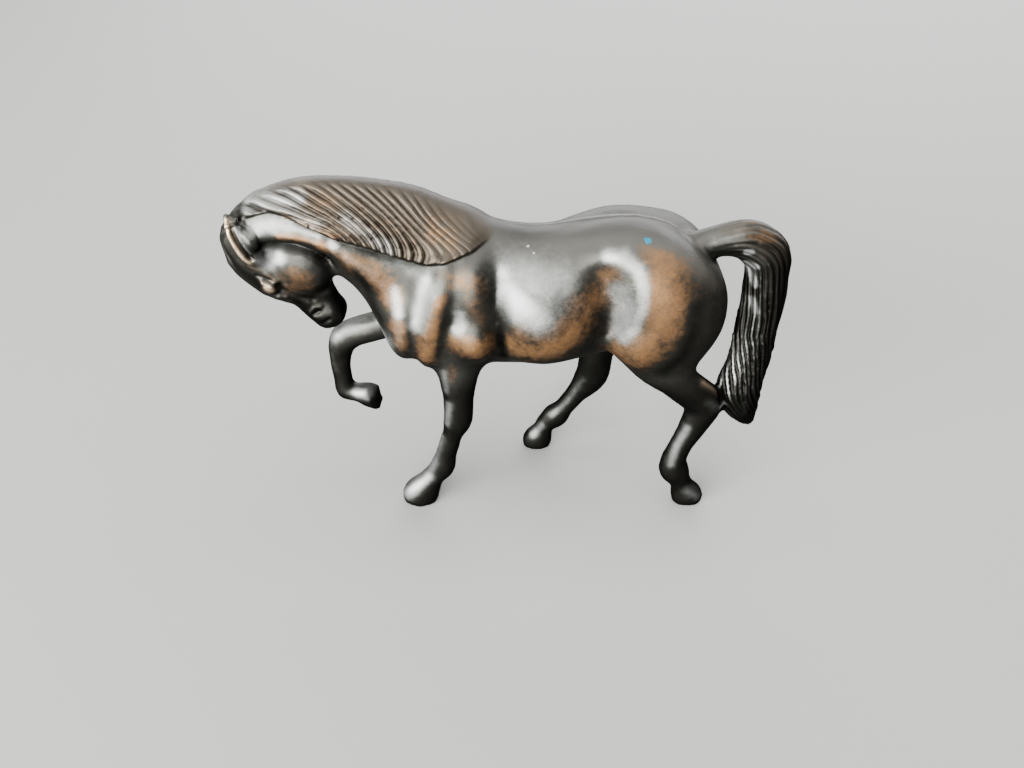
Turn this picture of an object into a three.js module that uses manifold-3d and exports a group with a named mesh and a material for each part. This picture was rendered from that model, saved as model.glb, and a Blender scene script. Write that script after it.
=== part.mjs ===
// A small cast-metal horse that bows its head and lifts its right foreleg.
// Millimetres, +Z up. The horse looks towards -X, and its left side, the near side, faces -Y.
//
// The casting is one solid. A distance field describes it: runs of elliptical sections for the
// trunk, neck, head, legs and tail, ellipsoids for the muscles, which melt into them, and
// hollows and hair locks as shallow changes of depth. The field's skin is meshed and thinned,
// and the soles are cut flat.
import * as THREE from 'three';
import { mergeVertices } from 'three/addons/utils/BufferGeometryUtils.js';
import { triTable } from 'three/addons/objects/MarchingCubes.js';
import Module from 'manifold-3d';

// Driving dimensions
const CREST_HEIGHT = 67;     // top of the arched neck above the ground
const NEAR_FORE_Y = -6.6;    // middle of each hoof across the horse
const NEAR_HIND_Y = -6.8;
const FAR_HIND_Y = 10.2;
const FAR_FORE_Y = 5.0;
const HOOF_HALF_LENGTH = 3.7; // of the fore hoof; the hind ones are a little shorter
const HOOF_HALF_WIDTH = 2.7;
const HIND_HOOF = 0.88;
const LIFTED_SOLE_X = -27.5; // middle of the lifted hoof's sole
const LIFTED_SOLE_Z = 17.8;
const LIFTED_SOLE_TURN = 22; // how far the sole turns to the near side, and tips up, in degrees
const LIFTED_SOLE_TIP = 9;
const MANE_LIFT = 0.8;       // how far the mane stands off the neck
const LOCK_DEPTH = 0.75;     // depth of the furrows between its locks
const TAIL_LOCKS = 9;        // locks around the tail
const TAIL_LOCK_DEPTH = 0.5;

// Blend radii: how softly one form runs into the next
const BODY_BLEND = 5;
const LIMB_BLEND = 3;
const RIDGE_BLEND = 2;
const HEAD_BLEND = 1.2;
const HOOF_BLEND = 1;
const DETAIL_BLEND = 0.8;
const EAR_BLEND = 0.4;
const EYE_BLEND = 0.3;

// Meshing
const CELL = 0.36;           // edge of a meshing cell
const TRIANGLES = 9400;      // what the thinned skin keeps

// Field arithmetic
function smoothMin(a, b, blend) {
  const share = Math.max(blend - Math.abs(a - b), 0) / blend;
  return Math.min(a, b) - share * share * blend * 0.25;
}

// 0 at and before `low`, 1 at and past `high`, smooth between. It also runs downwards.
function ramp(value, low, high) {
  const t = Math.min(1, Math.max(0, (value - low) / (high - low)));
  return t * t * (3 - 2 * t);
}

// 1 in the middle of each furrow and 0 on the lock between two, for a phase that counts locks
function furrow(phase) {
  return (0.5 + 0.5 * Math.cos(2 * Math.PI * phase)) ** 2;
}

// Distance to an ellipsoid's skin, from a point in the ellipsoid's own axes
function ellipsoidDistance(x, y, z, a, b, c) {
  const u = x / a;
  const v = y / b;
  const w = z / c;
  const near = Math.sqrt(u * u + v * v + w * w);
  if (near < 1e-6) return -Math.min(a, b, c);
  return near * (near - 1) / Math.sqrt(u * u / (a * a) + v * v / (b * b) + w * w / (c * c));
}

// A smooth curve through [x, value] pairs, level past its ends
function profile(pairs) {
  const slopes = pairs.map((_, i) => {
    const [x0, value0] = pairs[Math.max(0, i - 1)];
    const [x1, value1] = pairs[Math.min(pairs.length - 1, i + 1)];
    return (value1 - value0) / (x1 - x0);
  });
  return (x) => {
    const next = pairs.findIndex(([knot]) => knot > x);
    if (next === 0) return pairs[0][1];
    if (next < 0) return pairs[pairs.length - 1][1];
    const [x0, value0] = pairs[next - 1];
    const [x1, value1] = pairs[next];
    const t = (x - x0) / (x1 - x0);
    const lean = slopes[next - 1] * (1 - t) - slopes[next] * t;
    return value0 * (1 + 2 * t) * (1 - t) ** 2 + value1 * t * t * (3 - 2 * t)
      + (x1 - x0) * t * (1 - t) * lean;
  };
}

// A run of elliptical sections. A station is [x, y, z, deep, wide]: its centre, its half size
// in the side view, square to the run, and its half size across the horse. `cap` rounds the ends.
const REACH = 6;          // a run further off than this leaves the skin alone
const SPANS_PER_STATION = 4;

function run(stations, cap = 1) {
  const centres = new THREE.CatmullRomCurve3(
    stations.map(([x, y, z]) => new THREE.Vector3(x, y, z)));
  const halves = new THREE.CatmullRomCurve3(
    stations.map(([, , , deep, wide]) => new THREE.Vector3(deep, wide, 0)));
  const count = (stations.length - 1) * SPANS_PER_STATION;
  const box = new THREE.Box3();
  const spans = Array.from({ length: count }, (_, i) => {
    const from = centres.getPoint(i / count);
    const to = centres.getPoint((i + 1) / count);
    const size0 = halves.getPoint(i / count);
    const size1 = halves.getPoint((i + 1) / count);
    const along = to.clone().sub(from);
    const length = along.length();
    along.divideScalar(length);
    const across = new THREE.Vector3(0, 1, 0).addScaledVector(along, -along.y).normalize();
    const normal = along.clone().cross(across);
    const reach = Math.max(size0.x, size0.y, size1.x, size1.y);
    box.union(new THREE.Box3().setFromPoints([from, to]).expandByScalar(reach));
    return { from, size0, size1, along, across, normal, length };
  });
  return (x, y, z) => {
    const far = Math.max(
      box.min.x - x, x - box.max.x,
      box.min.y - y, y - box.max.y,
      box.min.z - z, z - box.max.z);
    if (far > REACH) return far;
    let best = Infinity;
    for (const { from, size0, size1, along, across, normal, length } of spans) {
      const px = x - from.x;
      const py = y - from.y;
      const pz = z - from.z;
      const s = px * along.x + py * along.y + pz * along.z;
      const t = Math.min(1, Math.max(0, s / length));
      const deep = size0.x + (size1.x - size0.x) * t;
      const wide = size0.y + (size1.y - size0.y) * t;
      best = Math.min(best, ellipsoidDistance(
        s - t * length,
        px * across.x + py * across.y + pz * across.z,
        px * normal.x + py * normal.y + pz * normal.z,
        cap * Math.min(deep, wide), wide, deep));
    }
    return best;
  };
}

// A muscle: an ellipsoid with its half sizes along the side view's x and z and across the
// horse. `lean` tips its top towards +X, in degrees.
function muscle(x, y, z, long, high, wide, lean = 0) {
  const cos = Math.cos(THREE.MathUtils.degToRad(lean));
  const sin = Math.sin(THREE.MathUtils.degToRad(lean));
  return (px, py, pz) => {
    const dx = px - x;
    const dz = pz - z;
    return ellipsoidDistance(dx * cos - dz * sin, py - y, dx * sin + dz * cos, long, wide, high);
  };
}

// A hollow seen from the side: how deep the skin sinks along a line of [x, z] points
function hollow(points, width, depth) {
  return (x, z) => {
    let best = Infinity;
    for (let i = 1; i < points.length; i++) {
      const [ax, az] = points[i - 1];
      const bx = points[i][0] - ax;
      const bz = points[i][1] - az;
      const t = Math.min(1, Math.max(0, ((x - ax) * bx + (z - az) * bz) / (bx * bx + bz * bz)));
      best = Math.min(best, Math.hypot(x - ax - t * bx, z - az - t * bz));
    }
    return depth * Math.exp(-((best / width) ** 2));
  };
}

// Trunk: [x, underline, top line, half width]
const TRUNK_STATIONS = [
  [-18.5, 33.4, 50.5, 8.0],
  [-13, 31.0, 55.0, 8.6],
  [-6, 31.6, 58.0, 9.2],
  [1, 32.0, 57.9, 10.4],
  [8, 32.4, 58.0, 10.8],
  [15, 34.2, 58.7, 9.4],
  [21, 36.4, 59.3, 9.8],
  [27.5, 38.6, 56.2, 9.2],
  [32.6, 41.0, 52.6, 7.2],
];
const TRUNK_CAP = 0.7;
const trunk = run(TRUNK_STATIONS.map(
  ([x, low, high, wide]) => [x, 0, (low + high) / 2, (high - low) / 2, wide]), TRUNK_CAP);

// Neck: from inside the shoulders up to the poll, arched over a bowed head
const neck = run([
  [-6, 0, 48.0, 9.2, 7.6],
  [-13, 0, 50.5, 11.4, 7.2],
  [-20, 0, 54.4, 10.8, 6.2],
  [-27, 0, 57.9, 8.4, 5.2],
  [-33.5, 0, 60.1, 5.9, 4.6],
  [-39, 0, 59.9, 4.4, 4.3],
  [-43.5, 0, 58.4, 3.9, 3.8],
]);
const neckRidge = muscle(-25.0, 4.4, 53.6, 7.0, 1.9, 2.2, 41);

// Muscles of one side, mirrored to the other: the blend radius, then the form
const flankMuscles = [
  [2.2, muscle(-18.6, 5.0, 42.2, 3.1, 7.0, 4.6, 4)],   // breast
  [1.6, muscle(-12.9, 6.9, 45.0, 3.0, 10.8, 4.2, 14)],  // front of the shoulder
  [2.6, muscle(-6.6, 6.6, 48.0, 3.4, 8.2, 4.0, 4)],    // upper arm
  [1.8, muscle(-6.3, 8.4, 41.6, 3.8, 4.2, 4.0)],       // elbow
  [2.5, muscle(5.2, 6.2, 44.8, 9.0, 9.2, 6.2, 2)],     // barrel
  [5.0, muscle(18.8, 3.6, 54.2, 8.6, 5.0, 5.6, 2)],    // croup
  [4.0, muscle(25.6, 6.0, 47.0, 7.6, 10.2, 6.0, 2)],   // thigh
  [2.5, muscle(22.6, 8.0, 40.6, 4.8, 4.6, 3.8, 30)],   // stifle
];
// The buttocks differ, because one hind leg is back and the other is forward
const buttocks = [
  muscle(29.8, -5.6, 43.8, 6.4, 9.2, 5.0, -6),
  muscle(28.2, 5.6, 46.6, 6.6, 8.0, 5.0, 12),
];
const flankHollows = [
  hollow([[-2.8, 53], [-2.4, 48], [-1.9, 40.5]], 1.6, 0.8),   // behind the elbow
  hollow([[15.0, 53.5], [17.0, 49], [16.8, 43.5]], 2.6, 1.3), // in front of the thigh
];

// Legs: stations down the bone, each run starting inside the body
const legs = [
  run([
    [-8.6, -6.2, 41, 5.0, 3.4],
    [-9.6, -6.6, 34, 4.0, 3.1],
    [-9.9, -7.0, 27, 2.9, 2.6],
    [-10.2, -7.0, 21.8, 2.8, 2.5],
    [-11.4, -6.9, 18, 2.0, 1.9],
    [-12.8, -6.8, 13, 2.1, 1.8],
    [-13.8, -6.7, 9.2, 2.5, 2.2],
    [-15.6, NEAR_FORE_Y, 6.8, 2.1, 2.0],
  ]),
  run([
    [-12, 6.0, 40, 5.0, 3.6],
    [-18, 6.2, 37.4, 4.0, 3.2],
    [-25, 6.0, 34.6, 3.0, 2.6],
    [-32.3, 5.6, 31.8, 2.9, 2.5],
    [-33.8, 5.4, 27.0, 2.1, 1.9],
    [-33.8, 5.3, 22, 1.9, 1.7],
    [-33.5, 5.2, 19.2, 2.1, 1.9],
    [-31.6, FAR_FORE_Y, 18.9, 1.4, 1.5],
  ]),
  run([
    [24.4, -6.2, 42, 7.6, 4.0],
    [26.8, -6.8, 35.7, 5.9, 3.6],
    [30.6, -7.1, 30.6, 3.6, 2.8],
    [35.5, -6.9, 25.8, 3.6, 2.4],
    [34.5, -7.0, 20.4, 2.8, 2.1],
    [32.6, -7.0, 15, 2.3, 1.9],
    [31.8, -6.9, 11.2, 2.6, 2.1],
    [32.2, NEAR_HIND_Y, 8.6, 3.0, 2.4],
    [33.6, NEAR_HIND_Y, 6.2, 2.2, 2.0],
  ]),
  run([
    [22.0, 6.4, 42, 7.0, 4.0],
    [19.4, 7.8, 34.0, 5.2, 3.6],
    [17.2, 8.8, 26.6, 3.4, 2.8],
    [16.4, 9.4, 19.6, 3.5, 2.4],
    [13.4, 9.8, 14.4, 2.3, 1.9],
    [11.2, 10.0, 10.8, 2.1, 1.9],
    [9.4, FAR_HIND_Y, 8.2, 2.9, 2.2],
    [7.2, FAR_HIND_Y, 6.2, 2.0, 1.9],
  ]),
];

// Hooves: each bulges from its coronet down to the ground, which later cuts it flat
const BELOW = 2;
function standingHoof(coronetX, coronetZ, soleX, y, size = 1) {
  const long = HOOF_HALF_LENGTH * size;
  const wide = HOOF_HALF_WIDTH * size;
  return run([
    [coronetX, y, coronetZ, long * 0.6, wide * 0.76],
    [(coronetX + soleX) / 2, y, coronetZ * 0.65, long * 0.84, wide * 0.92],
    [soleX, y, coronetZ * 0.3, long, wide],
    [soleX, y, 0, long * 0.94, wide * 0.95],
    [soleX, y, -BELOW, long * 0.8, wide * 0.8],
  ]);
}
const hooves = [
  standingHoof(-16.2, 5.8, -18.6, NEAR_FORE_Y),
  standingHoof(34.0, 4.8, 35.7, NEAR_HIND_Y, HIND_HOOF),
  standingHoof(6.8, 4.6, 5.5, FAR_HIND_Y, HIND_HOOF),
  run([
    [LIFTED_SOLE_X - 4.6, FAR_FORE_Y, LIFTED_SOLE_Z + 1.2, 1.3, 1.4],
    [LIFTED_SOLE_X - 2.4, FAR_FORE_Y, LIFTED_SOLE_Z + 0.6, 2.5, 2.1],
    [LIFTED_SOLE_X, FAR_FORE_Y, LIFTED_SOLE_Z, 3.6, 2.4],
    [LIFTED_SOLE_X + 2, FAR_FORE_Y, LIFTED_SOLE_Z - 0.3, 4.0, 2.6],
  ]),
];

// Head: from the poll down to the lips, tucked in towards the chest
const skull = run([
  [-44.8, 0, 57.0, 4.7, 3.7],
  [-42.8, 0, 53.4, 6.3, 4.2],
  [-40.2, 0, 49.4, 5.5, 3.9],
  [-36.7, 0, 45.6, 3.2, 2.7],
  [-34.4, 0, 42.2, 2.9, 2.5],
  [-33.2, 0, 40.6, 2.8, 2.4],
]);
const jaw = run([
  [-34.6, 0, 50.5, 3.6, 3.2],
  [-33.6, 0, 46.6, 2.2, 2.0],
  [-32.4, 0, 43.0, 2.3, 2.0],
]);
const cheek = muscle(-35.2, 2.0, 52.0, 5.0, 4.9, 3.0);
const brow = muscle(-42.6, 3.6, 51.3, 2.0, 0.9, 1.1, 45);
const eye = muscle(-41.5, 3.8, 48.9, 1.6, 1.2, 1.2, 35);
const muzzle = muscle(-32.4, 0.9, 41.8, 2.7, 2.7, 2.2);
const nostril = muscle(-34.4, 1.9, 41.9, 1.5, 1.2, 1.1, 50);
const ear = run([
  [-42.6, 3.9, 53.6, 1.3, 1.0],
  [-43.2, 4.5, 55.6, 1.8, 1.2],
  [-44.0, 4.8, 58.0, 1.8, 1.1],
  [-45.2, 4.6, 60.4, 1.3, 0.9],
  [-46.0, 4.2, 62.0, 0.4, 0.4],
]);
const earHollow = hollow([[-43.1, 55.4], [-43.7, 57.4], [-44.8, 60.2]], 0.5, 0.8);
const throat = hollow(
  [[-42.2, 56.8], [-39.6, 56.9], [-36.8, 56.7], [-34.2, 56.4], [-32.2, 55.2], [-30.4, 53.0]], 0.8, 1.2);

function head(x, y, z) {
  const side = Math.abs(y);
  let d = smoothMin(skull(x, y, z), cheek(x, side, z), HEAD_BLEND);
  d = smoothMin(d, jaw(x, y, z), HEAD_BLEND);
  d = smoothMin(d, brow(x, side, z), DETAIL_BLEND);
  d = smoothMin(d, muzzle(x, side, z), DETAIL_BLEND);
  d = smoothMin(d, nostril(x, side, z), DETAIL_BLEND);
  return smoothMin(d, eye(x, side, z), EYE_BLEND);
}

// Tail: carried high, arched, and resting on the near hock. Its locks wind a little around
// it as they run down.
const TAIL_X = 43.8;
const TAIL_HAIR_STARTS = 38.5;
const TAIL_TWIST = 0.012; // turns a millimetre
const tail = run([
  [29.5, 0, 53.8, 2.4, 3.0],
  [35.0, -0.3, 55.7, 2.7, 2.7],
  [39.6, -0.5, 56.1, 3.5, 2.9],
  [43.5, -0.6, 53.2, 4.0, 3.1],
  [44.3, -1.1, 47.8, 4.0, 3.2],
  [44.1, -1.9, 40, 4.0, 3.2],
  [43.4, -3.4, 32.4, 4.0, 3.0],
  [42.2, -5.1, 27.2, 4.4, 2.7],
  [43.5, -5.5, 23.4, 3.1, 2.4],
  [45.2, -5.7, 20.2, 1.2, 1.1],
]);
const tailMiddle = profile([[20, -5.7], [27, -5.1], [40, -1.9], [52, -0.6], [60, -0.5]]);

function tailFurrows(x, y, z) {
  const around = Math.atan2(y - tailMiddle(z), x - TAIL_X) / (2 * Math.PI) + TAIL_TWIST * z;
  return TAIL_LOCK_DEPTH * furrow(TAIL_LOCKS * around) * ramp(x, TAIL_HAIR_STARTS, 41) * ramp(z, 53.5, 50);
}

// Mane: a sheet of hair from the crest down to its lower edge, on both sides. Each profile
// runs from the poll back to the withers.
const MANE_FRONT = -46;
const MANE_REAR = -2.4;
const crestLine = profile([
  [-46, 62.2], [-42, 64.2], [-36, 65.8], [-29, CREST_HEIGHT], [-20, 65.4], [-10, 61.4], [-2, 58.2]]);
const maneEdge = profile([
  [-46, 60.4], [-42.6, 61.5], [-39, 62.6], [-35.4, 61.7], [-30.5, 59.4], [-24.5, 57.2],
  [-19, 55.8], [-14, 55.0], [-10, 55.8], [-7, 57.2], [-4.6, 58.3], [-2.4, 59.2]]);
// How far a lock runs to the rear for each millimetre that it hangs
const sweep = profile([
  [-46, 2.35], [-42, 1.93], [-37, 1.55], [-32, 1.3], [-26, 1.12], [-18, 1.01], [-2, 0.95]]);
const ROOT_RUN = 1.5;    // a lock first follows the crest for about this far
const ROOT_TURN = 0.7;   // and turns down over this much hang
// Locks counted along the crest
const lockCount = profile([
  [-62, 0], [-46, 3.4], [-36, 6.6], [-26, 10.4], [-16, 14.6], [-6, 19.4], [0, 22.4]]);

function maneRelief(x, z) {
  if (x < MANE_FRONT || x > MANE_REAR) return 0;
  const hang = Math.max(0, crestLine(x) - z);
  const inside = ramp(z - maneEdge(x), -0.4, 0.5) * ramp(x, MANE_FRONT, MANE_FRONT + 3)
    * ramp(x, MANE_REAR, MANE_REAR - 5);
  const fall = hang + ROOT_RUN * (1 - Math.exp(-hang / ROOT_TURN));
  const lock = lockCount(x - sweep(x) * fall);
  const fade = ramp(hang, 0.2, 1.8) * ramp(x, MANE_REAR, MANE_REAR - 9);
  return inside * (MANE_LIFT - LOCK_DEPTH * furrow(lock) * fade);
}

// The whole skin: below 0 inside the metal
// The far ear is laid lower, since the crest hides it
const FAR_EAR_DROP = 1.8;

function casting(x, y, z) {
  const side = Math.abs(y);
  let d = smoothMin(trunk(x, y, z), neck(x, y, z), BODY_BLEND);
  d = smoothMin(d, neckRidge(x, side, z), RIDGE_BLEND);
  for (const [blend, form] of flankMuscles) d = smoothMin(d, form(x, side, z), blend);
  for (const buttock of buttocks) d = smoothMin(d, buttock(x, y, z), BODY_BLEND);
  for (const leg of legs) d = smoothMin(d, leg(x, y, z), LIMB_BLEND);
  for (const depth of flankHollows) d += depth(x, z) * ramp(side, 2, 7);
  d -= maneRelief(x, z);
  d = smoothMin(d, head(x, y, z), HEAD_BLEND) + throat(x, z) * ramp(side, 0.5, 2.5);
  const earZ = y > 0 ? z + FAR_EAR_DROP : z;
  const hollowEar = ear(x, side, earZ) + earHollow(x, earZ) * ramp(side, 4.5, 5.1);
  d = smoothMin(d, hollowEar, EAR_BLEND);
  for (const hoof of hooves) d = smoothMin(d, hoof(x, y, z), HOOF_BLEND);
  return smoothMin(d, tail(x, y, z) + tailFurrows(x, y, z), HOOF_BLEND);
}

// Marching cubes over a box of cells, in blocks, so that blocks clear of the skin are skipped
const LOW = new THREE.Vector3(-54, -18, -7);
const HIGH = new THREE.Vector3(53, 18, 71);
const BLOCK = 4;
const CORNERS = [
  [0, 0, 0], [1, 0, 0], [1, 1, 0], [0, 1, 0], [0, 0, 1], [1, 0, 1], [1, 1, 1], [0, 1, 1]];
// Each edge of a cell: the corner it starts at and the axis it runs along
const EDGES = [
  [0, 0], [1, 1], [3, 0], [0, 1], [4, 0], [5, 1], [7, 0], [4, 1], [0, 2], [1, 2], [2, 2], [3, 2]];

function meshField(field) {
  const counts = ['x', 'y', 'z'].map((axis) => {
    const blocks = Math.ceil((HIGH[axis] - LOW[axis]) / CELL / BLOCK);
    return BLOCK * blocks + 1;
  });
  const [nx, ny, nz] = counts;
  const values = new Float32Array(nx * ny * nz).fill(NaN);
  const indexOf = (i, j, k) => i + nx * (j + ny * k);
  const place = (i, j, k) => [LOW.x + i * CELL, LOW.y + j * CELL, LOW.z + k * CELL];
  const valueAt = (i, j, k) => {
    const index = indexOf(i, j, k);
    if (Number.isNaN(values[index])) values[index] = field(...place(i, j, k));
    return values[index];
  };
  const positions = [];
  const triangles = [];
  const made = new Map();
  const vertexOn = (i, j, k, edge) => {
    const [corner, axis] = EDGES[edge];
    const a = [i + CORNERS[corner][0], j + CORNERS[corner][1], k + CORNERS[corner][2]];
    const key = indexOf(...a) * 3 + axis;
    if (made.has(key)) return made.get(key);
    const b = a.slice();
    b[axis] += 1;
    const valueA = valueAt(...a);
    const point = place(...a);
    point[axis] += CELL * valueA / (valueA - valueAt(...b));
    made.set(key, positions.length);
    positions.push(point);
    return positions.length - 1;
  };
  const meshCell = (i, j, k) => {
    let kind = 0;
    CORNERS.forEach(([a, b, c], bit) => {
      if (valueAt(i + a, j + b, k + c) < 0) kind |= 1 << bit;
    });
    for (let n = kind * 16; triTable[n] !== -1; n += 3) {
      triangles.push([0, 2, 1].map((m) => vertexOn(i, j, k, triTable[n + m])));
    }
  };
  const clear = BLOCK * CELL * 2;
  for (let k = 0; k < nz - 1; k += BLOCK) {
    for (let j = 0; j < ny - 1; j += BLOCK) {
      for (let i = 0; i < nx - 1; i += BLOCK) {
        const middle = field(...place(i + BLOCK / 2, j + BLOCK / 2, k + BLOCK / 2));
        if (Math.abs(middle) > clear) continue;
        for (let n = 0; n < BLOCK ** 3; n++) {
          meshCell(i + n % BLOCK, j + Math.floor(n / BLOCK) % BLOCK, k + Math.floor(n / BLOCK ** 2));
        }
      }
    }
  }
  return { positions, triangles };
}

// A queue that gives back its cheapest entry first
class Queue {
  heap = [];

  push(entry) {
    const { heap } = this;
    let i = heap.push(entry) - 1;
    while (i > 0) {
      const up = (i - 1) >> 1;
      if (heap[up].cost <= entry.cost) break;
      heap[i] = heap[up];
      i = up;
    }
    heap[i] = entry;
  }

  pop() {
    const { heap } = this;
    const top = heap[0];
    const last = heap.pop();
    if (heap.length === 0) return top;
    let i = 0;
    for (let down = 1; down < heap.length; down = 2 * i + 1) {
      if (down + 1 < heap.length && heap[down + 1].cost < heap[down].cost) down++;
      if (heap[down].cost >= last.cost) break;
      heap[i] = heap[down];
      i = down;
    }
    heap[i] = last;
    return top;
  }
}

// A quadric holds the squared distances to a set of planes, as the upper half of a 4 x 4 matrix
function planeQuadric([nx, ny, nz], offset, weight) {
  return [
    nx * nx, nx * ny, nx * nz, nx * offset, ny * ny,
    ny * nz, ny * offset, nz * nz, nz * offset, offset * offset,
  ].map((value) => value * weight);
}

function quadricError(q, [x, y, z]) {
  return q[0] * x * x + 2 * q[1] * x * y + 2 * q[2] * x * z + 2 * q[3] * x + q[4] * y * y
    + 2 * q[5] * y * z + 2 * q[6] * y + q[7] * z * z + 2 * q[8] * z + q[9];
}

// The point between a and b, or close by, that strays least from the quadric's planes
function bestPoint(q, a, b) {
  const middle = a.map((value, i) => (value + b[i]) / 2);
  const inverse = new THREE.Matrix3().set(q[0], q[1], q[2], q[1], q[4], q[5], q[2], q[5], q[7]);
  if (Math.abs(inverse.determinant()) > 1e-4) {
    const lowest = new THREE.Vector3(-q[3], -q[6], -q[8]).applyMatrix3(inverse.invert()).toArray();
    if (distance(lowest, middle) < distance(a, b)) return lowest;
  }
  return [middle, a, b].reduce((best, p) => (quadricError(q, p) < quadricError(q, best) ? p : best));
}

function distance(a, b) {
  return Math.hypot(a[0] - b[0], a[1] - b[1], a[2] - b[2]);
}

// A triangle's normal, as long as twice its area
function normalOf([a, b, c]) {
  const u = [b[0] - a[0], b[1] - a[1], b[2] - a[2]];
  const v = [c[0] - a[0], c[1] - a[1], c[2] - a[2]];
  return [u[1] * v[2] - u[2] * v[1], u[2] * v[0] - u[0] * v[2], u[0] * v[1] - u[1] * v[0]];
}

function dot(a, b) {
  return a[0] * b[0] + a[1] * b[1] + a[2] * b[2];
}

// Thinning: the edge whose collapse strays least from the skin goes first
const LENGTH_COST = 2e-5; // keeps flat places from thinning into slivers
const LEAST_TURN = 0.3;   // how far a face may turn in a collapse, as a cosine

function thin({ positions, triangles }, target, weightAt) {
  const quadrics = positions.map(() => new Float64Array(10));
  const facesAt = positions.map(() => new Set());
  const version = new Uint32Array(positions.length);
  const gone = new Uint8Array(triangles.length);
  triangles.forEach((corners, t) => {
    const points = corners.map((v) => positions[v]);
    const normal = normalOf(points);
    const size = Math.hypot(...normal) || 1e-12;
    const unit = normal.map((value) => value / size);
    const plane = planeQuadric(unit, -dot(unit, points[0]), size * weightAt(...points[0]));
    for (const v of corners) {
      facesAt[v].add(t);
      plane.forEach((value, i) => { quadrics[v][i] += value; });
    }
  });
  const neighbours = (v) => {
    const found = new Set([...facesAt[v]].flatMap((t) => triangles[t]));
    found.delete(v);
    return found;
  };
  const queue = new Queue();
  const offer = (a, b) => {
    const q = quadrics[a].map((value, i) => value + quadrics[b][i]);
    const point = bestPoint(q, positions[a], positions[b]);
    const strain = LENGTH_COST * distance(positions[a], positions[b]) ** 2;
    const cost = Math.max(0, quadricError(q, point)) + strain;
    queue.push({ a, b, q, point, cost, versionA: version[a], versionB: version[b] });
  };
  const turnsOver = (v, other, point) => [...facesAt[v]].some((t) => {
    const corners = triangles[t];
    if (corners.includes(other)) return false;
    const before = normalOf(corners.map((c) => positions[c]));
    const after = normalOf(corners.map((c) => (c === v ? point : positions[c])));
    return dot(before, after) < LEAST_TURN * Math.hypot(...before) * Math.hypot(...after);
  });
  positions.forEach((_, v) => {
    for (const other of neighbours(v)) {
      if (other > v) offer(v, other);
    }
  });
  let left = triangles.length;
  while (left > target && queue.heap.length > 0) {
    const { a, b, q, point, versionA, versionB } = queue.pop();
    if (version[a] !== versionA || version[b] !== versionB) continue;
    const around = neighbours(b);
    const shared = [...neighbours(a)].filter((v) => around.has(v));
    if (shared.length !== 2 || turnsOver(a, b, point) || turnsOver(b, a, point)) continue;
    for (const t of [...facesAt[b]]) {
      if (triangles[t].includes(a)) {
        for (const v of triangles[t]) facesAt[v].delete(t);
        gone[t] = 1;
        left--;
      } else {
        triangles[t] = triangles[t].map((v) => (v === b ? a : v));
        facesAt[a].add(t);
      }
    }
    facesAt[b].clear();
    positions[a] = point;
    quadrics[a] = q;
    version[a]++;
    version[b]++;
    for (const other of neighbours(a)) offer(a, other);
  }
  return { positions, triangles: triangles.filter((_, t) => !gone[t]) };
}

// The mane, the tail's hair, the head and the hooves keep more of their triangles
const MANE_WEIGHT = 6;
const TAIL_WEIGHT = 2;
const HEAD_WEIGHT = 3;
const HOOF_WEIGHT = 3;

function weightAt(x, y, z) {
  if (maneRelief(x, z) > 0) return MANE_WEIGHT;
  if (x > TAIL_HAIR_STARTS) return TAIL_WEIGHT;
  if (z < 8) return HOOF_WEIGHT;
  return x < -30 && z > 36 ? HEAD_WEIGHT : 1;
}

const skin = thin(meshField(casting), TRIANGLES, weightAt);
const skinGeometry = new THREE.BufferGeometry()
  .setAttribute('position', new THREE.Float32BufferAttribute(skin.positions.flat(), 3))
  .setIndex(skin.triangles.flat());

// What the ground takes off the standing hooves, and what the lifted sole's plane takes off
const GROUND = 200;
const groundBlock = new THREE.BoxGeometry(GROUND, GROUND, GROUND).translate(0, 0, -GROUND / 2);
const SOLE_BLOCK = 12;
const soleBlock = new THREE.BoxGeometry(SOLE_BLOCK, SOLE_BLOCK, SOLE_BLOCK)
  .translate(SOLE_BLOCK / 2, 0, 0)
  .rotateY(THREE.MathUtils.degToRad(-LIFTED_SOLE_TIP))
  .rotateZ(THREE.MathUtils.degToRad(-LIFTED_SOLE_TURN))
  .translate(LIFTED_SOLE_X, FAR_FORE_Y, LIFTED_SOLE_Z);

const wasm = await Module();
wasm.setup();

function solidOf(geometry) {
  const bare = geometry.clone();
  bare.deleteAttribute('normal');
  bare.deleteAttribute('uv');
  const merged = mergeVertices(bare, 1e-5);
  return new wasm.Manifold(new wasm.Mesh({
    numProp: 3,
    vertProperties: merged.attributes.position.array,
    triVerts: new Uint32Array(merged.index.array),
  }));
}

const { vertProperties, triVerts } = solidOf(skinGeometry)
  .subtract(solidOf(groundBlock))
  .subtract(solidOf(soleBlock))
  .getMesh();
const geometry = new THREE.BufferGeometry()
  .setAttribute('position', new THREE.BufferAttribute(vertProperties, 3))
  .setIndex(new THREE.BufferAttribute(triVerts, 1));

// The origin is on the ground, under the middle of the whole horse
geometry.computeBoundingBox();
const { min, max } = geometry.boundingBox;
geometry.translate(-(min.x + max.x) / 2, -(min.y + max.y) / 2, -min.z);
geometry.computeVertexNormals();

const antiquedMetal = new THREE.MeshStandardMaterial({
  color: 0x3a2c25,
  roughness: 0.42,
  metalness: 0.8,
});
const horse = new THREE.Mesh(geometry, antiquedMetal);
horse.name = 'horse';

const statuette = new THREE.Group();
statuette.add(horse);

export default statuette;
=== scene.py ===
import math

import bmesh
import bpy
import numpy as np
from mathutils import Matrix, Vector, noise


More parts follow.
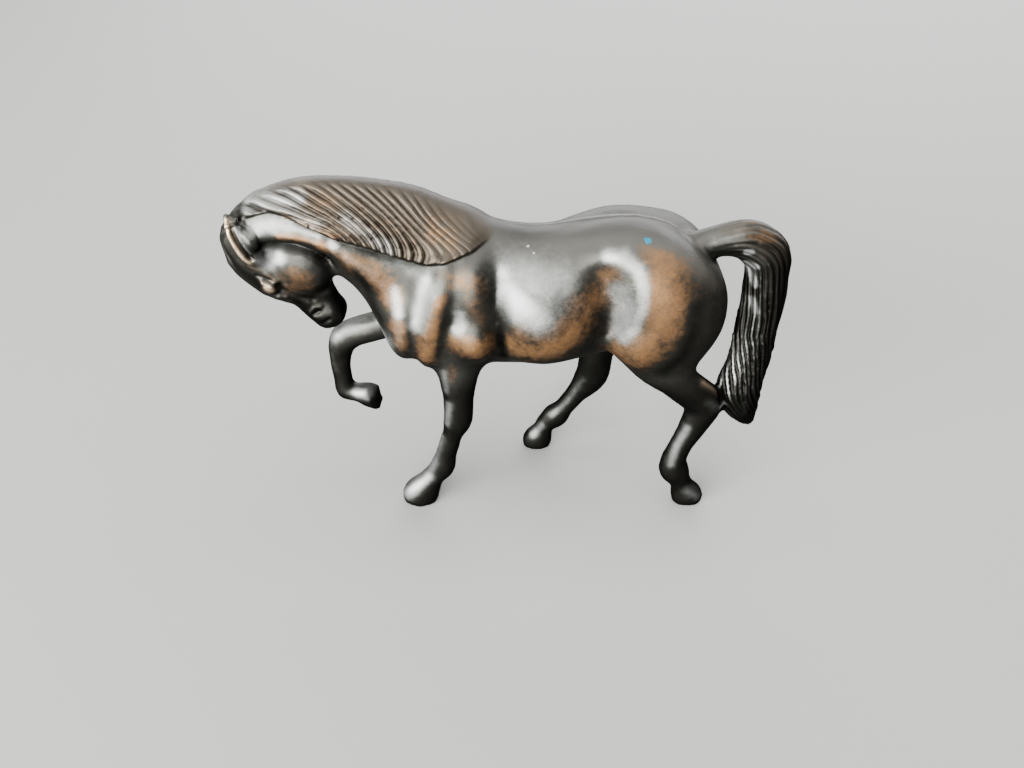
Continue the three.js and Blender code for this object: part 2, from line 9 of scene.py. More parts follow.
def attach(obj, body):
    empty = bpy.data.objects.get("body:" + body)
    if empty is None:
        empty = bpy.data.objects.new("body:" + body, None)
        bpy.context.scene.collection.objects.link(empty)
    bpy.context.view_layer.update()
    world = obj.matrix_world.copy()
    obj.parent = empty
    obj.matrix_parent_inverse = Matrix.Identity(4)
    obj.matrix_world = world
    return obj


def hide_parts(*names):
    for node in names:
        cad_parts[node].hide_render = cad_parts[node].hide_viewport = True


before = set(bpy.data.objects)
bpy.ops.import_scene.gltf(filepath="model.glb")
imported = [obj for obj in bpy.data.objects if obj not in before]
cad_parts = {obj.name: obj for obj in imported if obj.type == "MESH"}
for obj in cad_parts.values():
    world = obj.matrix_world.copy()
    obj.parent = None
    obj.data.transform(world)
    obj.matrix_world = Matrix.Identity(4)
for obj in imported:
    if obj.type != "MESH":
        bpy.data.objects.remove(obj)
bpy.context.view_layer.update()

# The casting: the whole horse in one pour of soft zinc alloy, trunk, legs, hair and all. Its form
# comes from a carved pattern with rounded muscles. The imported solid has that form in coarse
# facets, so a copy of it gets a fine, smooth skin before it is carved.
MM = 0.001
BODY_CELL = 0.54          # spacing of the skin's points, in millimetres
FAIR_ROUNDS = 30
HEAD_HELD = 0.6           # share of the small forms that smoothing leaves alone
EARS_HELD = 0.7

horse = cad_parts["horse"]
casting = bpy.data.objects.new("casting", horse.data.copy())
bpy.context.collection.objects.link(casting)
casting.data.materials.clear()

facets = bmesh.new()
facets.from_mesh(casting.data)
bmesh.ops.remove_doubles(facets, verts=facets.verts, dist=1e-6)
facets.to_mesh(casting.data)
facets.free()

even = casting.modifiers.new("even", "REMESH")
even.mode = "VOXEL"
even.voxel_size = BODY_CELL * MM
bpy.context.view_layer.objects.active = casting
bpy.ops.object.modifier_apply(modifier=even.name)


class Skin:
    """The casting's points and edges, in millimetres, while it is smoothed and carved"""

    def __init__(self, mesh):
        self.mesh = mesh
        count = len(mesh.vertices)
        self.points = np.empty(count * 3)
        mesh.vertices.foreach_get("co", self.points)
        self.points = self.points.reshape(-1, 3) / MM
        ends = np.empty(len(mesh.edges) * 2, int)
        mesh.edges.foreach_get("vertices", ends)
        self.a, self.b = ends.reshape(-1, 2).T
        self.degree = np.bincount(ends, minlength=count)

    def neighbours(self, values):
        """The mean of each point's neighbours"""
        columns = values.reshape(len(values), -1)
        total = [
            np.bincount(self.a, column[self.b], len(values))
            + np.bincount(self.b, column[self.a], len(values))
            for column in columns.T
        ]
        return (np.array(total) / self.degree).T.reshape(values.shape)

    def soften(self, values, rounds, share=1.0):
        """Values after `rounds` of moving half way, or a share of that, to the neighbours' mean"""
        for _ in range(rounds):
            values = values + 0.5 * share * (self.neighbours(values) - values)
        return values

    def fair(self, rounds, share):
        """Takes out bumps shorter than about nine cells and keeps the form's fullness"""
        for _ in range(rounds):
            for step in (0.5, -0.53):
                away = self.neighbours(self.points) - self.points
                self.points = self.points + step * share * away

    def normals(self):
        self.write()
        normals = np.empty(len(self.points) * 3)
        self.mesh.vertices.foreach_get("normal", normals)
        return normals.reshape(-1, 3)

    def write(self):
        self.mesh.vertices.foreach_set("co", (self.points * MM).ravel())
        self.mesh.update()


def ramp(value, low, high):
    """A smooth step, from 0 at `low` to 1 at `high`"""
    t = np.clip((value - low) / (high - low), 0, 1)
    return t * t * (3 - 2 * t)


skin = Skin(casting.data)
x, y, z = skin.points.T
ears = ramp(x, -41.5, -42.5) * ramp(np.abs(y), 3.2, 4.2) * ramp(z, 53.5, 55)
head = ramp(x, -29, -31) * ramp(z, 36, 38) * ramp(z, 61, 58)
faired = np.repeat(((1 - HEAD_HELD * head) * (1 - EARS_HELD * ears))[:, None], 3, axis=1)
faired[:, 2] *= ramp(z, 0.5, 1.2)      # the soles stay flat
skin.fair(FAIR_ROUNDS, faired)
skin.write()

# The carved parts: the mane lies between the crest of the neck and a hem, and the tail bends
# down to the hock. There, on the head and along the mould's parting line the pattern was cut
# finely, so the skin's cells are halved.
CREST = ([-46, -42, -36, -29, -20, -10, -2], [62.2, 64.2, 65.8, 67, 65.4, 61.4, 58.2])
HEM = (
    [-46, -42, -38.5, -35, -30, -24, -18.5, -13.5, -10, -6.5, -4, -2],
    [60.4, 61.7, 62.8, 61.9, 59.6, 57.7, 56.1, 55.0, 55.8, 57.0, 57.8, 58.6],
)
# The middle of the tail from its root to its tip, and its half thickness
TAIL_LINE = np.array([
    (30.0, 0.0, 53.8, 2.4), (35.5, -0.3, 55.7, 2.7), (40.1, -0.5, 56.1, 3.5),
    (44.0, -0.6, 53.2, 4.0), (44.8, -1.1, 47.8, 4.0), (44.6, -1.9, 40.0, 4.0),
    (43.9, -3.4, 32.4, 4.0), (42.7, -5.1, 27.2, 4.4), (44.0, -5.5, 23.4, 3.1),
    (45.7, -5.7, 20.2, 1.2),
])
CARVED_ROUNDS = 3         # rounds of softening after the cells are halved
LIFTED_SOLE_ROUNDS = 14


def along(x, curve):
    """A smooth curve through the points of `curve`"""
    knots, values = curve
    reach = 12
    fine = np.linspace(knots[0], knots[-1], 400)
    window = np.exp(-np.linspace(-2, 2, 2 * reach + 1) ** 2)
    padded = np.pad(np.interp(fine, knots, values), reach, mode="reflect", reflect_type="odd")
    return np.interp(x, fine, np.convolve(padded, window / window.sum(), "valid"))


x, y, z = skin.points.T
from_tail = np.linalg.norm(skin.points[:, None, :] - TAIL_LINE[None, :, :3], axis=2)
near_tail = (from_tail / TAIL_LINE[:, 3]).min(axis=1) < 1.6
carved = (
    (x > -48) & (x < -1) & (z > along(x, HEM) - 1.2)          # mane
    | (x < -31) & (z > 36)                                    # head
    | (x > -4) & (x < 32) & (np.abs(y) < 2.2) & (z > 56)      # parting line
    | near_tail & (x > 32.5)
)
fine_skin = bmesh.new()
fine_skin.from_mesh(casting.data)
fine_skin.verts.ensure_lookup_table()
bmesh.ops.subdivide_edges(
    fine_skin,
    edges=[edge for edge in fine_skin.edges if all(carved[vert.index] for vert in edge.verts)],
    cuts=1,
    use_grid_fill=True,
)
fine_skin.to_mesh(casting.data)
fine_skin.free()

skin = Skin(casting.data)
x, y, z = skin.points.T
level_soles = np.stack([np.ones(len(z)), np.ones(len(z)), 1 - ramp(z, 0.8, 0.3)], axis=1)
skin.points = skin.soften(skin.points, CARVED_ROUNDS, level_soles)
lifted_sole = ramp(x, -30, -28) * ramp(x, -22, -24) * ramp(z, 24, 22.5) * ramp(z, 12, 14)
skin.points = skin.soften(skin.points, LIFTED_SOLE_ROUNDS, lifted_sole[:, None])

# The mane and forelock: one with the casting. Their strands were scratched into the pattern as
# furrows of uneven depth, which run together into locks lower down. The mane's edge stands a
# little proud of the neck.
STRAND_DEPTH = 0.46
FORELOCK_DEPTH = 0.3
FORELOCK_STRAND = 1.3     # from one furrow to the next, in millimetres
MANE_EDGE_STEP = 0.6
MANE_EDGE_ROUNDS = 24     # how far the step fades into the neck
# Strands of the mane, counted from the front: each is a line of places along the neck, and of
# distances down from the crest
MANE_LINES = (
    (0.0, [(-41.7, 3.1), (-38.0, 4.0), (-34.7, 6.3), (-31.1, 7.9), (-27.7, 9.7)]),
    (0.8, [(-39.7, 2.4), (-36.3, 4.5), (-33.4, 5.9), (-29.4, 7.9), (-25.6, 9.7)]),
    (1.6, [(-38.0, 2.2), (-34.8, 4.3), (-31.3, 6.2), (-27.4, 8.1), (-25.6, 9.0)]),
    (2.8, [(-34.9, 2.3), (-32.1, 4.3), (-28.2, 6.4), (-24.7, 8.4), (-23.2, 9.8)]),
    (3.7, [(-33.7, 1.7), (-30.4, 4.0), (-26.6, 5.9), (-23.5, 8.2), (-22.0, 9.9)]),
    (4.7, [(-32.1, 1.5), (-28.0, 3.9), (-24.5, 6.1), (-21.2, 8.8), (-20.1, 9.9)]),
    (6.1, [(-30.7, 0.4), (-26.3, 2.9), (-23.2, 5.0), (-20.2, 7.5), (-18.0, 10.0)]),
    (7.8, [(-27.7, 0.8), (-23.7, 2.7), (-20.7, 4.6), (-18.0, 6.5), (-15.6, 9.6)]),
    (9.2, [(-23.5, 1.4), (-20.2, 3.5), (-17.5, 5.3), (-14.9, 7.4), (-13.2, 8.8)]),
    (10.4, [(-20.7, 1.3), (-17.9, 3.7), (-15.4, 5.5), (-12.7, 7.3), (-11.2, 7.9)]),
    (11.5, [(-17.8, 2.3), (-15.1, 4.4), (-12.6, 5.6), (-9.5, 7.3)]),
    (12.6, [(-15.6, 2.5), (-13.0, 4.3), (-10.3, 5.9), (-8.7, 6.5)]),
    (13.8, [(-13.0, 2.7), (-10.2, 4.6), (-6.9, 6.7)]),
    (15.4, [(-9.7, 2.4), (-6.9, 5.2), (-5.3, 5.8)]),
    (17.2, [(-6.4, 2.4), (-3.9, 4.3)]),
)
MANE_MIDDLE, MANE_HALF, MANE_DROP = -24, 22, 10    # bring the places and distances to about 1
FIT_DEGREE = 4


def grain(points, size, seed=0):
    """Smooth noise from -1 to 1 over a point set, with bumps about `size` millimetres across"""
    return np.array([noise.noise(Vector(point) / size + Vector((seed, 0, 0))) for point in points])


def furrow(phase):
    """1 in the middle of each furrow and 0 on the strand between two"""
    return 0.5 + 0.5 * np.cos(2 * math.pi * phase)


def streaks(across, down, stretch, seed):
    """Noise in threads: `across` counts strands, and `down` runs along them in millimetres"""
    threads = np.stack([across, down / stretch, np.zeros(len(across))], 1)
    return grain(threads, 1, seed)


def strand_terms(place, drop):
    """Powers of the place along the neck and of the distance from the crest, for the fit"""
    place = (place - MANE_MIDDLE) / MANE_HALF
    drop = drop / MANE_DROP
    powers = [(i, j) for i in range(5) for j in range(4) if i + j <= FIT_DEGREE]
    return np.stack([place ** i * drop ** j for i, j in powers], axis=1)


x, y, z = skin.points.T
wander = grain(skin.points, 6)
around = np.hypot(np.maximum(0, along(x, CREST) - z), y)

counts = np.concatenate([np.full(len(line), count) for count, line in MANE_LINES])
places = np.concatenate([line for _, line in MANE_LINES])
strand_fit = np.linalg.lstsq(strand_terms(*places.T), counts, rcond=None)[0]
mane_phase = strand_terms(x, around) @ strand_fit + 0.2 * wander
mane_phase += 0.2 * streaks(mane_phase * 0.6, around, 6, 5)
mane_threads = streaks(mane_phase, around, 5, 11)

hem = along(x, HEM)
in_mane = ramp(z, hem - 0.25, hem + 0.25) * ramp(x, -46.5, -45) * ramp(x, -1.5, -4.5)
in_mane *= ramp(x, -29, -31) * ramp(z, 57, 58) + ramp(x, -31, -29)
# The strands start further from the crest, and lie shallower, towards the withers
rear = ramp(x, -18, -7)
combed = in_mane * ramp(around, 0.6 + 0.6 * rear, 2.6 + 1.6 * rear) * ramp(x, -2, -7)
combed *= 1 - 0.5 * rear

forelock_phase = np.abs(y) / FORELOCK_STRAND + 0.35 * np.sin(0.7 * z) + 0.5 * wander
in_forelock = ramp(x, -43.2, -45.2) * ramp(z, 48.5, 51.5) * ramp(np.abs(y), 3.8, 3.0)
in_forelock *= 1 - in_mane

front_furrows = (
    combed * (0.55 + 0.3 * mane_threads) * furrow(mane_phase)
    + in_forelock * 0.6 * furrow(forelock_phase))
front_relief = (
    combed * STRAND_DEPTH * (front_furrows / 0.5 - 0.5)
    + in_forelock * FORELOCK_DEPTH * (front_furrows / 0.6 - 0.4))
mane_edge = MANE_EDGE_STEP * (in_mane - skin.soften(in_mane, MANE_EDGE_ROUNDS)) * ramp(x, -2, -8)

# The tail: a thick hank that is one with the rump and the hock. It was cut as the mane was, and
# its strands run round it in a slow twist that tightens towards the tip.
TAIL_STRANDS = 20
TAIL_DEPTH = 0.34
TAIL_STEPS = 181          # points on the tail's middle line
TAIL_ROUNDS = 60          # rounds that bend the line smoothly
RUMP_END = 32
TWIST = 0.005             # turns in a millimetre
TIP_TWIST = 0.012         # what the twist gains below the bend
BEND_RUN = 30

knots = np.arange(len(TAIL_LINE))
even_knots = np.linspace(0, knots[-1], TAIL_STEPS)
middle = np.stack([np.interp(even_knots, knots, column) for column in TAIL_LINE.T], 1)
for _ in range(TAIL_ROUNDS):
    middle[1:-1] = (middle[:-2] + 2 * middle[1:-1] + middle[2:]) / 4
ahead = np.gradient(middle[:, :3], axis=0)
lengths = np.linalg.norm(ahead, axis=1)
ahead /= lengths[:, None]
sideways = np.array([0, 1, 0]) - ahead[:, 1:2] * ahead
outward = np.cross(sideways, ahead)

behind = np.flatnonzero(x > RUMP_END)
apart = skin.points[behind, None, :] - middle[None, :, :3]
nearest = np.argmin(np.einsum("ijk,ijk->ij", apart, apart), axis=1)
apart = apart[np.arange(len(nearest)), nearest]


def on_all(values):
    """Values of the points behind the rump, with 0 on the rest of the horse"""
    whole = np.zeros(len(x))
    whole[behind] = values
    return whole


tail_turn = on_all(np.arctan2(
    np.einsum("ij,ij->i", apart, sideways[nearest]),
    np.einsum("ij,ij->i", apart, outward[nearest])) / (2 * math.pi))
tail_run = on_all(np.cumsum(lengths)[nearest])
in_tail = on_all(ramp(np.linalg.norm(apart, axis=1) / middle[nearest, 3], 1.5, 1.25))
in_tail *= ramp(tail_run, 3.5, 8)

# The noise is taken out along the line where the count of strands starts again
clear_of_seam = ramp(np.abs(tail_turn), 0.5, 0.43)
twist = -TWIST * tail_run - TIP_TWIST * np.maximum(0, tail_run - BEND_RUN)
tail_phase = TAIL_STRANDS * (tail_turn - twist) + 0.3 * wander
tail_phase += 0.25 * clear_of_seam * streaks(0.7 * TAIL_STRANDS * tail_turn, tail_run, 7, 9)
tail_threads = streaks(TAIL_STRANDS * tail_turn, tail_run, 9, 23) * clear_of_seam
tail_furrows = in_tail * (
    (0.6 + 0.4 * tail_threads) * furrow(tail_phase) + 0.2 * furrow(tail_phase / 2))
tail_relief = in_tail * TAIL_DEPTH * ramp(tail_run, 2, 26) * (tail_furrows / 0.55 - 0.5)

relief = mane_edge - skin.soften(front_relief + tail_relief, 1)
skin.points = skin.points + skin.normals() * relief[:, None]

# The face: eyes, brows, nostrils, lips and ear hollows were pressed and cut into the pattern.
# They are small and soft, as a slush mould leaves them. Lines are drawn on the side of the head,
# in x and z, and marked on both sides.
EAR_RIM = [(-45.5, 62.2), (-45.3, 59.9), (-45.0, 58.2), (-44.4, 56.2), (-43.7, 54.9), (-43.0, 54.2)]
EAR_GROOVE = [(-44.7, 60.4), (-44.3, 58.6), (-43.7, 57.1), (-43.0, 55.8), (-42.5, 54.9)]
EAR_RIDGE = [(-44.4, 60.4), (-43.7, 58.6), (-43.0, 57.4), (-42.3, 56.2)]
EAR_BACK = [(-43.2, 60.0), (-42.4, 58.6), (-41.8, 57.2), (-41.4, 55.4)]
BROW = [(-43.4, 53.2), (-42.2, 52.7), (-41.2, 52.3), (-40.3, 51.0), (-39.6, 50.0)]
NECK_RIDGE = [(-37.2, 59.1), (-35.0, 58.9), (-32.6, 58.4), (-30.5, 57.8), (-28.5, 56.9)]
CHEEK_CREASE = [
    (-41.3, 56.3), (-39.2, 56.6), (-36.8, 56.3), (-34.6, 56.1), (-32.6, 55.2), (-30.8, 53.4)]
EYE_CORNER = [(-39.3, 49.4), (-39.2, 48.2), (-40.0, 47.2)]
# Depth, line and width: a depth below 0 stands out
FACE = (
    (-0.28, BROW, 0.55),
    (0.45, [(-42.6, 51.2), (-41.6, 50.9), (-40.7, 50.2)], 0.4),        # between brow and lid
    (-0.3, [(-41.9, 49.9), (-40.9, 49.8), (-40.1, 49.0)], 0.35),       # upper lid
    (0.4, [(-39.3, 49.3), (-39.2, 48.2), (-40.0, 47.2)], 0.45),        # corner of the eye
    (-0.25, [(-42.0, 48.2), (-41.0, 47.7)], 0.4),                      # lower lid
    (-0.3, [(-40.3, 46.2), (-40.0, 46.3)], 0.45),                      # bumps under the eye
    (-0.25, [(-38.9, 46.4), (-38.6, 46.4)], 0.4),
    (-0.22, [(-38.0, 49.0), (-36.5, 47.3), (-34.6, 46.6)], 0.5),       # lower edge of the cheek
    (0.25, [(-38.3, 47.8), (-36.8, 46.2), (-34.4, 45.4)], 0.5),
    (0.38, [(-34.4, 42.6), (-33.6, 43.1)], 0.42),                      # nostril
    (-0.2, [(-35.3, 42.6), (-34.4, 43.7), (-33.2, 43.9)], 0.4),        # its wing
    (0.3, [(-35.4, 39.7), (-33.6, 40.3), (-31.9, 41.6)], 0.3),         # mouth
    (-0.12, [(-33.4, 39.4), (-31.9, 40.6)], 0.4),                      # lower lip
    (0.3, CHEEK_CREASE, 0.5),
    (-0.3, NECK_RIDGE, 0.7),
    (-0.8, [(-41.2, 57.9), (-38.0, 58.6), (-34.5, 58.4), (-31.0, 57.4)], 1.7),  # beside the poll
)
EAR = ((0.5, EAR_GROOVE, 0.38), (-0.3, EAR_RIM, 0.45), (-0.2, EAR_RIDGE, 0.4))


def stroke(line, width):
    """1 on a line drawn on the side of the horse, in x and z, and fading over `width`"""
    nearest = np.full(len(skin.points), np.inf)
    side = skin.points[:, [0, 2]]
    for start, end in zip(np.array(line[:-1], float), np.array(line[1:], float)):
        run = end - start
        t = np.clip((side - start) @ run / (run @ run), 0, 1)
        nearest = np.minimum(nearest, np.linalg.norm(side - start - t[:, None] * run, axis=1))
    return np.exp(-((nearest / width) ** 2))


x, y, z = skin.points.T
off_middle = ramp(np.abs(y), 1.2, 2.4)
on_ear = ramp(np.abs(y), 3.4, 4.0) * ramp(x, -40.5, -41.2) * ramp(z, 53.0, 54.2)
pressed = off_middle * sum(depth * stroke(line, width) for depth, line, width in FACE)
pressed += on_ear * sum(depth * stroke(line, width) for depth, line, width in EAR)
skin.points = skin.points - skin.normals() * pressed[:, None]

# The parting line: the two halves of the mould met along the back, and left a low fin in the
# metal that was filed down by hand and wanders a little to each side.
FIN_LINE = ([-4, 0, 8.7, 14, 18.9, 22.3, 26.7, 31], [0.6, 1.2, 1.8, 0.8, 0.2, 0.3, 1.0, 0.4])
FIN_WIDTH = 0.28
FIN_HEIGHT = 0.17

x, y, z = skin.points.T
fin = np.exp(-(((y - along(x, FIN_LINE)) / FIN_WIDTH) ** 2))
fin *= ramp(x, -4, 4) * ramp(x, 31, 28) * ramp(z, 54, 56)
skin.points[:, 2] += FIN_HEIGHT * fin
skin.points[:, 2] = np.maximum(skin.points[:, 2], 0)

# The wear: a buff and years of hands rubbed the high forms to copper and left the patina thick in
# the hollows. The silver strokes are painted highlight on a patina worn thin, and the dark strokes
# are painted shade. Each stroke has a strength, a line on the side of the horse, and how wide
# it fades.
RUBBED = (
    (0.85, [(-37.2, 59.2), (-35.0, 59.0), (-32.6, 58.5), (-30.5, 57.9)], 0.75),  # neck
    (0.8, [(-30.5, 57.8), (-28.5, 56.9), (-26.5, 55.7), (-24.9, 54.4)], 1.3),
    (0.9, [(-24.9, 54.4), (-22.8, 52.8), (-21.0, 51.0), (-20.2, 49.2)], 2.7),
    (0.5, [(-21.0, 52.2), (-19.1, 51.2)], 1.4),
    (0.75, [(-18.9, 44.0), (-18.4, 41.0)], 2.2),                                 # breast
    (0.3, [(-10.1, 53.2), (-10.6, 51.1)], 1.5),                                  # shoulder
    (0.75, [(-10.9, 49.8), (-11.6, 48.1), (-12.6, 44.8)], 1.6),
    (1.0, [(-12.8, 44.8), (-13.9, 41.4), (-14.4, 38.6)], 2.1),
    (0.38, [(-9.1, 53.6), (-7.3, 53.0), (-4.0, 52.4)], 2.6),                     # withers
    (0.35, [(-6.0, 50.0), (-4.6, 46.5)], 2.0),
    (1.0, [(-8.3, 41.9), (-5.5, 41.6), (-3.6, 41.5)], 2.5),                      # elbow
    (0.35, [(-9.6, 35.4), (-10.3, 33.0)], 1.2),
    (1.0, [(0.2, 41.4), (4.4, 40.9), (8.5, 42.0), (10.9, 45.0)], 3.0),           # barrel
    (0.6, [(2.0, 43.8), (5.5, 43.4), (9.0, 45.4), (11.5, 49.0)], 3.2),
    (0.75, [(11.0, 44.5), (13.0, 46.5), (14.5, 50.0), (16.0, 53.0)], 2.6),
    (0.6, [(15.8, 53.6), (17.4, 52.0), (18.4, 48.6)], 1.8),                      # flank
    (0.85, [(24.4, 56.2), (26.0, 52.7), (26.8, 49.4), (26.5, 45.2)], 3.6),       # thigh
    (0.4, [(28.6, 52.0), (29.2, 47.0), (28.0, 42.0)], 3.2),
    (0.22, [(30.8, 50.0), (30.8, 44.5), (28.5, 39.0)], 3.2),
    (0.95, [(24.6, 54.0), (24.8, 48.0), (24.0, 43.0), (22.2, 39.6)], 3.0),
    (0.75, [(26.5, 44.6), (24.9, 40.6), (22.0, 38.3), (19.0, 39.6)], 2.8),
    (0.6, [(16.4, 50.5), (16.8, 46.0), (16.9, 42.0)], 1.4),
    (0.55, [(-36.4, 51.6), (-34.6, 51.2), (-34.8, 49.6), (-36.6, 48.8)], 2.5),   # cheek
    (0.6, [(-35.9, 62.6), (-33.8, 62.2), (-31.9, 61.4), (-28.0, 59.4)], 0.9),    # mane
    (0.35, [(-33.4, 65.8), (-31.1, 65.0), (-28.6, 64.2)], 1.6),
    (0.25, [(-26, 61), (-20, 60), (-15, 58)], 3.0),
    (0.4, [(-12.5, 60.5), (-9.5, 58.6)], 2.2),
    (0.5, [(40.2, 59.3), (43.0, 58.4), (45.2, 56.6), (46.4, 54.6)], 1.2),        # tail
    (0.6, [(40.1, 57.8), (42.2, 57.3), (44.5, 55.6), (45.8, 54.2)], 0.6),
    (0.5, [(-22, 0.2), (-19, 0.2)], 0.5),                                        # toe
)
CRESCENT = [
    (16.0, 57.0), (18.6, 57.2), (20.8, 55.6), (21.7, 52.6), (21.7, 49.1), (20.9, 45.3),
    (19.2, 42.6)]
# Painted highlight on a patina worn thin: the light's reflection is painted in where these strokes
# lie
SILVER_AND_HIGHLIGHTS = (
    (0.6, [(-42.2, 59.6), (-39.9, 60.4), (-37.6, 60.7), (-35.6, 60.4)], 1.5),    # behind the ear
    (0.6, [(-35.6, 60.4), (-33.2, 59.9), (-31.2, 59.2)], 0.9),
    (0.3, [(-20.0, 55.0), (-14.7, 53.6), (-12.6, 52.6)], 1.5),                   # under the mane
    (1.0, [(-41.3, 54.4), (-40.4, 52.9)], 1.2),                                  # temple
    (0.6, EAR_RIDGE, 0.4),
    (0.8, [(-40.9, 55.0), (-39.6, 54.2), (-38.4, 54.4)], 1.5),                   # cheek
    (0.8, [(-28.9, 58.0), (-28.1, 57.5)], 0.7),                                  # neck
    (0.25, [(-28.5, 56.9), (-24.9, 54.4), (-21.0, 50.6), (-19.0, 46.0), (-18.6, 42.0)], 1.6),
    (0.8, [(-19.1, 50.0), (-18.9, 48.4), (-18.7, 46.4)], 1.1),                   # breast
    (1.0, [(-13.4, 52.0), (-14.6, 47.6), (-15.5, 44.4)], 1.45),                  # shoulder
    (0.9, [(-8.3, 47.3), (-8.1, 45.8), (-8.8, 44.4)], 1.2),
    (0.9, [(0.6, 51.0), (2.4, 48.5), (5.0, 47.0)], 3.0),                         # barrel
    (0.4, [(6.5, 51.0), (9.0, 49.5)], 3.0),
    (0.7, [(-1.0, 54.0), (4.0, 53.3), (9.0, 52.5)], 2.8),
    (0.9, CRESCENT, 1.2),                                                        # flank
    (1.0, [(18.2, 51.2), (19.3, 48.0), (18.9, 44.0)], 2.1),
    (1.0, [(-22.0, 39.8), (-27.0, 38.6), (-33.0, 36.2), (-34.8, 34.0)], 2.4),    # lifted leg
    (0.25, [(-34.6, 31.0), (-34.4, 25.0)], 0.8),
    (1.0, [(-30.6, 19.6), (-28.4, 19.4)], 1.5),
    (0.6, [(-11.6, 34.5), (-11.4, 30.0)], 0.8),                                  # near foreleg
    (0.8, [(-11.0, 27.0), (-11.8, 22.0)], 0.9),
    (1.0, [(-13.4, 18.0), (-14.9, 13.0), (-16.0, 9.5)], 1.2),
    (1.0, [(-16.0, 8.0), (-18.5, 5.6), (-21.0, 2.6)], 1.5),
    (0.4, [(36.5, 27.5), (38.5, 25.5)], 1.2),                                    # near hind leg
    (0.8, [(33.5, 21.0), (32.1, 16.0), (31.5, 11.5)], 0.9),
    (0.6, [(35.5, 4.5), (38.0, 2.5)], 1.2),
    (0.45, [(15.0, 20.0), (12.2, 13.5), (9.0, 9.5)], 0.8),                       # far hind leg
    (0.7, [(7.0, 6.5), (5.0, 4.0)], 1.0),
    (0.3, [(34.3, 56.9), (36.6, 57.4), (38.5, 58.2)], 0.9),                      # root of the tail
    (0.8, [(-42.4, 63.3), (-39.3, 64.2), (-35.9, 64.6), (-33.4, 65.0)], 1.3),    # mane
    (0.5, [(-36.5, 63.6), (-33.8, 62.6), (-30.4, 61.0)], 1.2),
    (0.5, [(-26.0, 62.0), (-22.0, 59.5), (-19.0, 57.5)], 1.5),
)
# Painted shade: dark strokes in grooves, creases and on sides turned from the light
SHADED = (
    (0.5, [(-44.5, 62.5), (-41.0, 62.6), (-38.0, 62.9)], 0.5),                   # edge of the mane
    (0.5, [(-29.5, 59.0), (-24.5, 56.9), (-19.0, 55.2), (-14.5, 54.4)], 0.9),
    (0.45, [(-16.3, 52.2), (-16.5, 49.7), (-17.0, 46.4), (-17.0, 40)], 0.5),     # shoulder
    (0.4, [(-9.3, 50.8), (-10.3, 48.4), (-11.4, 44.0), (-12.2, 38.7)], 0.6),
    (1.0, [(-2.2, 53.7), (-1.9, 47.6), (-1.5, 42.7), (-1.0, 37.6)], 0.8),
    (0.35, [(-5.5, 56.6), (-1.0, 56.2), (2.5, 57.2)], 2.4),                      # withers
    (0.5, [(16.4, 45.5), (16.8, 40.7)], 0.9),                                    # flank
    (0.7, [(30.4, 49.4), (30.6, 44.4), (29.4, 39.2), (26.9, 36.2)], 1.5),        # back of the thigh
    (0.9, CHEEK_CREASE, 0.6),
    (0.5, [(-36.6, 54.9), (-34.2, 54.4), (-32.6, 53.0)], 1.2),                   # cheek
    (0.7, [(-30.9, 51.6), (-31.4, 49.0), (-33.4, 46.4), (-36.0, 45.4)], 1.2),
    (0.8, [(-30.9, 54.6), (-30.1, 52.6)], 1.0),
    (0.6, [(-25.3, 53.6), (-23.8, 48.4), (-22.9, 45.1), (-21.5, 41.2)], 1.0),    # front of the neck
    (0.5, [(-32.0, 43.0), (-29.5, 44.5), (-28.5, 38.0)], 2.0),                   # chin
    (0.7, [(-46.6, 55.2), (-45.8, 52.7), (-44.4, 50.9), (-42.8, 49.2)], 1.2),    # forehead
    (0.9, EYE_CORNER, 0.45),
    (0.9, EAR_GROOVE, 0.42),
    (0.9, EAR_BACK, 0.6),
    (0.7, [(-43.0, 59.6), (-42.4, 57.6), (-41.9, 56.0)], 0.9),
    (1.0, [(-42.6, 55.2), (-41.9, 54.0), (-41.7, 55.4)], 0.9),
    (0.8, [(34.0, 54.9), (37.7, 55.1), (39.0, 55.1)], 0.5),                      # tail
    (0.8, [(34.2, 55.6), (36.7, 56.4), (38.6, 57.0), (40.9, 56.9)], 0.35),
    (0.7, [(42.3, 56.6), (44.9, 55.4), (47.0, 53.7)], 0.4),
    (0.6, [(39.5, 59.2), (42.0, 59.0), (43.7, 58.3), (46.2, 55.9)], 0.3),
)
# Painted highlights: bright spots on the inside of the tail's bend, and bright strands below it
TAIL_HIGHLIGHT_SPOTS = (
    (1.5, [(39.6, 55.1), (40.4, 55.2)], 0.5),
    (1.5, [(40.2, 52.7), (41.9, 52.2)], 0.5),
    (1.6, [(40.9, 51.7), (42.3, 48.8)], 0.55),
    (1.3, [(42.2, 46.0), (43.1, 44.0)], 0.7),
)
TAIL_GLINTS = (
    (1.0, [(42.5, 46.0), (43.2, 42.3), (42.8, 37.7)], 1.3),
    (1.2, [(42.8, 37.7), (41.4, 34.1), (40.0, 30.1), (39.8, 26.9)], 1.9),
)
TAIL_BACK = [(47.0, 52.0), (47.6, 45.8), (47.2, 36.9), (46.2, 29.2), (45.2, 22.0)]
TAIL_TOP = [(37.0, 58.9), (41.0, 58.4), (43.9, 56.6), (46.2, 53.6)]
EYEBALL = [(-41.3, 49.2), (-40.5, 48.6)]
HOCK_CRUST = [(34.9, 31.4), (37.5, 29.4), (40.4, 26.6)]


def painted(strokes):
    """The strongest of a set of strokes at each point"""
    return np.max([strength * stroke(line, width) for strength, line, width in strokes], axis=0)


x, y, z = skin.points.T
normals = skin.normals()
bulge = np.einsum("ij,ij->i", skin.points - skin.soften(skin.points, 60), normals)
ridge = np.einsum("ij,ij->i", skin.points - skin.soften(skin.points, 3), normals)
upright = 1 - ramp(np.abs(normals[:, 2]), 0.75, 0.95)
in_hair = np.clip(in_mane + in_tail, 0, 1)
